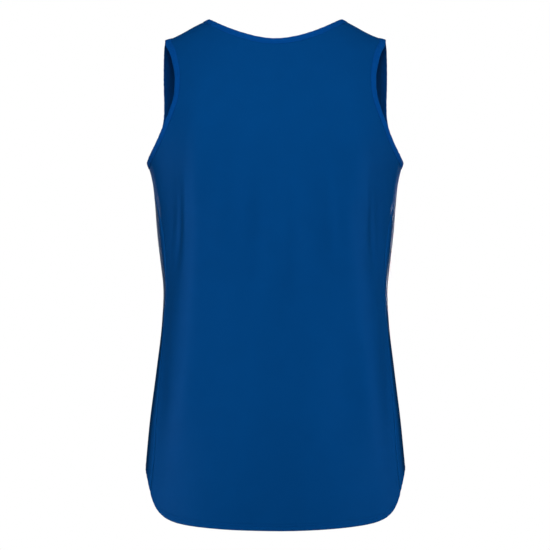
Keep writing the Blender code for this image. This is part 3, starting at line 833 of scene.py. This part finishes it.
def makePanel(panel, name, node):
    down, angle = panelGrid(panel)
    outer, normal = dressed(panel, down, angle)
    rows, columns = down.shape

    # the side seams pull both panels a little inward, on one shared line
    wrap = section(panel, down)[3]
    sideReach = seamReach(panel, down, angle)
    other = "front" if panel == "back" else "back"
    half = np.where(angle < 0, -1, 1)
    own = normalOf(panel, down, half * wrap)
    theirs = normalOf(other, down, half * section(other, down)[3])
    shared = unit(own + theirs)
    shared = shared / dot(shared, own)[..., None]
    below = (down >= 1)[..., None]
    nearSeam = np.exp(-np.maximum(sideReach, 0) / panelCut["seamTurn"])[..., None] * below
    normal = normal * (1 - nearSeam) + shared * nearSeam

    press = panelCut["seamPress"] * dip(sideReach, 0, panelCut["seamPressWidth"]) * (down >= 1)
    fromTop = down * quarter * figure["shoulderDepth"]
    press += panelCut["seamPress"] * dip(fromTop, 0, panelCut["seamPressWidth"])

    # the hem: rounded fold, turned-up layer, two pressed rows
    wall = np.full(down.shape, panelCut["wall"])
    hemRows = np.array(panelCut["hemRows"])
    distance = np.full(rows, 1.0)
    distance[-len(hemRows):] = hemRows
    half = panelCut["hemWall"] / 2
    rounding = np.where(distance < half, half - np.sqrt(np.maximum(half**2 - (half - distance) ** 2, 0)), 0)
    stepAt, stepWidth = panelCut["hemStep"]
    step = np.clip((stepAt - distance) / stepWidth, 0, 1)
    wall = wall + (panelCut["hemWall"] - panelCut["wall"]) * step[:, None]
    rowDip = sum(dip(distance, place, panelCut["stitchWidth"]) for place in panelCut["hemStitch"])
    press = press + panelCut["stitchPress"] * rowDip[:, None]
    press = np.minimum(press, (wall - 2 * rounding[:, None]) / 2) + rounding[:, None]
    inner = outer - (wall - rounding[:, None])[..., None] * normal
    share = (np.arange(columns) / (columns - 1))[None, :]
    wave = ripple("hem", share, outward[panel]) * np.exp(-distance / pucker["hem"]["fade"])[:, None]
    outer = outer + (wave - press)[..., None] * normal
    inner = inner + wave[..., None] * normal

    faces = gridFaces(np.arange(rows * columns).reshape(rows, columns))
    points, faces = closedWall(outer.reshape(-1, 3), inner.reshape(-1, 3), faces, panel == "front")
    place = metric(panel, down, angle).reshape(-1, 2)
    places = np.concatenate((place, place))
    for kind in ("side", "shoulder"):
        for side in sides:
            strip = allowanceStrip(kind, side, 0 if panel == "back" else 1)
            faces += [[number + len(points) for number in face] for face in facesAlong(strip, False)]
            points = np.concatenate((points, strip.reshape(-1, 3)))
            places = np.concatenate((places, strip.reshape(-1, 3)[:, (1, 2)]))
    # points that take the painted side shade: those below the underarm, mostly on the front panel, and all
    # of the allowance strips
    sideShadeMask = np.clip((np.tile(down.ravel(), 2) - 1) / panelCut["paintedSideShadeFade"], 0, 1) * panelCut["aside"][panel]
    # the inner faces and the turned-in allowances are marked for the painted inner shade
    marks = {"inside": np.arange(len(points)) >= rows * columns,
             "sideShadeMask": np.append(sideShadeMask, np.ones(len(points) - len(sideShadeMask)))}
    stitched = [rows - len(hemRows) + panelCut["hemRows"].index(place) for place in panelCut["hemStitch"]]
    stitchLines[panel + "Hem"] = [(outer[row], normal[row]) for row in stitched]
    stitchLines[panel + "HemInside"] = [(inner[row], -normal[row]) for row in stitched]
    piece = addPiece(name, points, faces, panelKnit, places, marks)
    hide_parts(node)
    return piece


backPanel = makePanel("back", "backPanel", "back_panel")
frontPanel = makePanel("front", "frontPanel", "front_panel")
print("panels made:", len(backPanel.data.polygons), "and", len(frontPanel.data.polygons), "faces")


# bindings
bindingCut = {
    "width": 0.0088,
    "wall": 0.0006,
    "clear": 0.0001,  # from the panel's faces
    "neckParts": 100,
    "armholeParts": 150,
    "stitchRow": 0.0072,  # from the finished edge
    "stitchPress": 0.00025,
    "stitchWidth": 0.0006,
    "puff": 0.00018,
    "puffEnd": 0.8,  # share of the width that it fills
    "foldPoints": 7,
    "foldRound": 0.8,  # 1 for a half circle
    "lip": (0.97, 0.45),  # from this share of the width on, its edge is this much thinner
    "slotClear": 0.4,  # share of clear that the panel's edge has in the slot
    "slotEnds": (0.99, 1.15),  # shares of the width and of the wall
    "across": (1.0, 0.955, 0.90, 0.86, 0.82, 0.78, 0.72, 0.60, 0.45, 0.30, 0.19, 0.12),  # of the width
}


def bindingProfile():  # distance into the panel, height over the panel's outer face
    width, wall, clear = bindingCut["width"], bindingCut["wall"], bindingCut["clear"]
    top = clear + wall
    foot = -panelCut["wall"] - top
    middle, radius = (top + foot) / 2, (top - foot) / 2
    along = np.array(bindingCut["across"]) * width
    swell = bindingCut["puff"] * np.sin(math.pi * np.clip(along / (bindingCut["puffEnd"] * width), 0, 1))
    pressed = bindingCut["stitchPress"] * dip(along, bindingCut["stitchRow"], bindingCut["stitchWidth"])
    lipFrom, thinner = bindingCut["lip"]
    lip = np.where(along > lipFrom * width, wall * thinner, 0)
    rise = swell - pressed - lip
    over = np.stack((along, top + rise), axis=-1)
    under = np.stack((along, foot - rise), axis=-1)[::-1]
    turns = np.linspace(0, math.pi, bindingCut["foldPoints"] + 2)[1:-1]
    depth = radius * (1 - np.sin(turns)) * bindingCut["foldRound"]
    fold = np.stack((depth, middle + radius * np.cos(turns)), axis=-1)
    slotTop = clear * bindingCut["slotClear"]
    mouth, end = bindingCut["slotEnds"]
    slot = [(place, -panelCut["wall"] - slotTop) for place in (width * mouth, width / 2, wall * end)]
    slot += [(place, slotTop) for place, _ in slot[::-1]]
    return np.concatenate((over, fold, under, slot))


def bindingStrip(edge, side):  # the profile at each place along an edge
    strip = []
    for distance, height in bindingProfile():
        down, angle = inside(edge, distance)
        points, normal = dressed(edge.panel, down, side * angle)
        strip.append(points + height * normal)
    return np.stack(strip, axis=1)


def joined(first, second):
    return np.concatenate((first[:-1], (first[-1:] + second[:1]) / 2, second[1:]))


def closedRing(strip):
    ring = strip[:-1].copy()
    ring[0] = (strip[0] + strip[-1]) / 2
    return ring


def overShoulder(edges, side):
    return joined(bindingStrip(edges[0], side), bindingStrip(edges[1], side)[::-1])


def makeBinding(name, sections, node):
    u, v = ringLengths(sections[0])[0], ringLengths(sections[:, 3])[0]
    places = np.stack(np.meshgrid(u, v), axis=-1).reshape(-1, 2)
    # the binding's under side is marked for the painted inner shade
    reverse = np.tile(bindingProfile()[:, 1] < -panelCut["wall"] / 2, len(sections))
    piece = addPiece(name, sections.reshape(-1, 3), facesAlong(sections, True), bindingKnit,
                     places, {"inside": reverse})
    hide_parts(node)
    return piece


neckEdges = [neckEdge(panel, bindingCut["neckParts"]) for panel in outward]
armholeEdges = [armholeEdge(panel, bindingCut["armholeParts"]) for panel in outward]
neckSections = closedRing(joined(overShoulder(neckEdges, 1), overShoulder(neckEdges, -1)[::-1]))
neckBinding = makeBinding("neckBinding", neckSections, "neck_binding")
armholeSections = {side: closedRing(overShoulder(armholeEdges, side)) for side in sides}
for side, word in sides.items():
    node = "armhole_binding_" + word.lower()
    makeBinding("armholeBinding" + word, armholeSections[side], node)
print("bindings made")


def bindingRows(sections):  # along the pressed row, outside and inside
    distances, heights = bindingProfile().T
    away = np.abs(distances - bindingCut["stitchRow"])
    top = np.argmin(np.where(heights > bindingCut["clear"], away, 1))
    foot = np.argmin(np.where(heights < -panelCut["wall"] - bindingCut["clear"], away, 1))
    ring = np.concatenate((sections, sections[:1]))
    up = unit(ring[:, top] - ring[:, foot])
    return [stitchRow(ring[:, top], up), stitchRow(ring[:, foot], -up)]


neckThread = threadPiece("neckThread", bindingRows(neckSections))
for side, word in sides.items():
    rows = bindingRows(armholeSections[side])
    threadPiece("armholeThread" + word, rows)

hemStitches = []
for panel in outward:
    hemStitches += [stitchRow(*line) for line in stitchLines[panel + "Hem"]]
    (upper, up), (lower, _) = stitchLines[panel + "HemInside"]
    hemStitches.append(zigzagRow(upper, lower, up, stitch["pitch"]))
hemThread = threadPiece("hemThread", hemStitches)

seamStitches = []
inward = panelCut["wall"] + 2 * (panelCut["allowanceLayer"] + panelCut["layerGap"])
for side in sides:
    for distance in panelCut["shoulderStitch"]:
        line, up = besideSeam("shoulder", side, distance, panelCut["rowParts"]["shoulder"])
        seamStitches.append(stitchRow(line - panelCut["shoulderSunk"] * up, up))
    for kind in ("side", "shoulder"):
        rows = []
        for share in panelCut["overlockAt"]:
            distance = panelCut["allowance"] * share
            line, normal = besideSeam(kind, side, distance, panelCut["rowParts"]["overlock"])
            rows.append(line - inward * normal)
        seamStitches.append(zigzagRow(*rows, -normal, panelCut["overlock"]))
seamThread = threadPiece("seamThread", seamStitches)
print("thread sewn:", len(hemThread.data.polygons) + len(seamThread.data.polygons), "faces on hem and seams")


# stage, lights, camera
studio = {
    "floorZ": -1.48,
    "floorRadius": 6.0,
    "floorParts": 96,
    "floorColour": (0.80, 0.80, 0.80),
    "floorRoughness": 0.9,
    "floorGlow": 0.80,  # seen by the camera alone, so that none of it falls on the cloth
    "ambient": 0.018,
    # place, level it is aimed at, size, spread, power, seen in glossy cloth
    "key": ((-0.02, -2.90, 0.55), -0.27, 1.1, 50, 8.4, False),
    "top": ((0.0, -0.45, 2.2), -0.05, 0.9, 40, 0.85, False),
    "left": ((-2.98, -0.20, -0.9), -0.40, 1.0, 34, 1.70, True),
    "right": ((2.98, -0.20, -0.9), -0.40, 1.0, 34, 0.86, True),
    "fill": ((2.97, 0.3, -0.6), -0.42, 1.0, 34, 1.50, False),
    "front": ((0.04, 2.88, 0.7), -0.24, 1.1, 50, 7.5, False),
    "rimLeft": ((-1.15, 2.65, -0.36), -0.26, 0.14, 6, 0.014, True),
    "rimRight": ((1.15, 2.65, -0.36), -0.26, 0.14, 6, 0.026, True),
}


def makeFloor():
    radius, parts = studio["floorRadius"], studio["floorParts"]
    turns = 2 * math.pi * np.arange(parts) / parts
    points = [(0.0, 0.0, studio["floorZ"])]
    points += [(radius * math.cos(t), radius * math.sin(t), studio["floorZ"]) for t in turns]
    faces = [(0, i + 1, (i + 1) % parts + 1) for i in range(parts)]
    mesh = bpy.data.meshes.new("floor")
    mesh.from_pydata(points, [], faces)
    floor = placed("floor", mesh)
    paint = bpy.data.materials.new("paleFloor")
    paint.use_nodes = True
    tree = paint.node_tree
    colour = (*studio["floorColour"], 1)
    ray = addNode(tree, "ShaderNodeLightPath").outputs["Is Camera Ray"]
    setInputs(tree, tree.nodes["Principled BSDF"], {
        "Base Color": colour,
        "Roughness": studio["floorRoughness"],
        "Emission Color": colour,
        "Emission Strength": calc(tree, "MULTIPLY", ray, studio["floorGlow"]),
    })
    mesh.materials.append(paint)


def makeLight(name):
    place, aimZ, size, spread, power, glossy = studio[name]
    data = bpy.data.lights.new(name, "AREA")
    data.shape = "DISK"
    data.size = size
    data.energy = power
    data.spread = math.radians(spread)
    light = placed(name, data)
    light.location = place
    light.visible_glossy = glossy
    aim = Vector((0, 0, aimZ)) - Vector(place)
    light.rotation_euler = aim.to_track_quat("-Z", "Y").to_euler()


def makeWorld():
    world = bpy.data.worlds.new("studio")
    world.use_nodes = True
    tree = world.node_tree
    seen = tree.nodes["Background"]
    setInputs(tree, seen, {"Color": (1, 1, 1, 1), "Strength": 1.0})
    soft = addNode(tree, "ShaderNodeBackground", {"Color": (1, 1, 1, 1), "Strength": studio["ambient"]})
    ray = addNode(tree, "ShaderNodeLightPath").outputs["Is Camera Ray"]
    mix = addNode(tree, "ShaderNodeMixShader", {0: ray, 1: soft.outputs[0], 2: seen.outputs[0]})
    setInputs(tree, tree.nodes["World Output"], {"Surface": mix.outputs[0]})
    bpy.context.scene.world = world


view = {"distance": 3.0, "height": -0.3224, "x": -0.0005, "width": 0.7333, "sensor": 36}
makeFloor()
for name in ("key", "top", "left", "right", "fill", "front", "rimLeft", "rimRight"):
    makeLight(name)
makeWorld()
cameraData = bpy.data.cameras.new("camera")
cameraData.sensor_width = view["sensor"]
cameraData.lens = view["sensor"] * view["distance"] / view["width"]
camera = placed("camera", cameraData)
camera.location = (view["x"], -view["distance"], view["height"])
camera.rotation_euler = (quarter, 0, 0)
bpy.context.scene.camera = camera
bpy.context.scene.view_settings.view_transform = "Standard"
print("stage, lights and camera made")
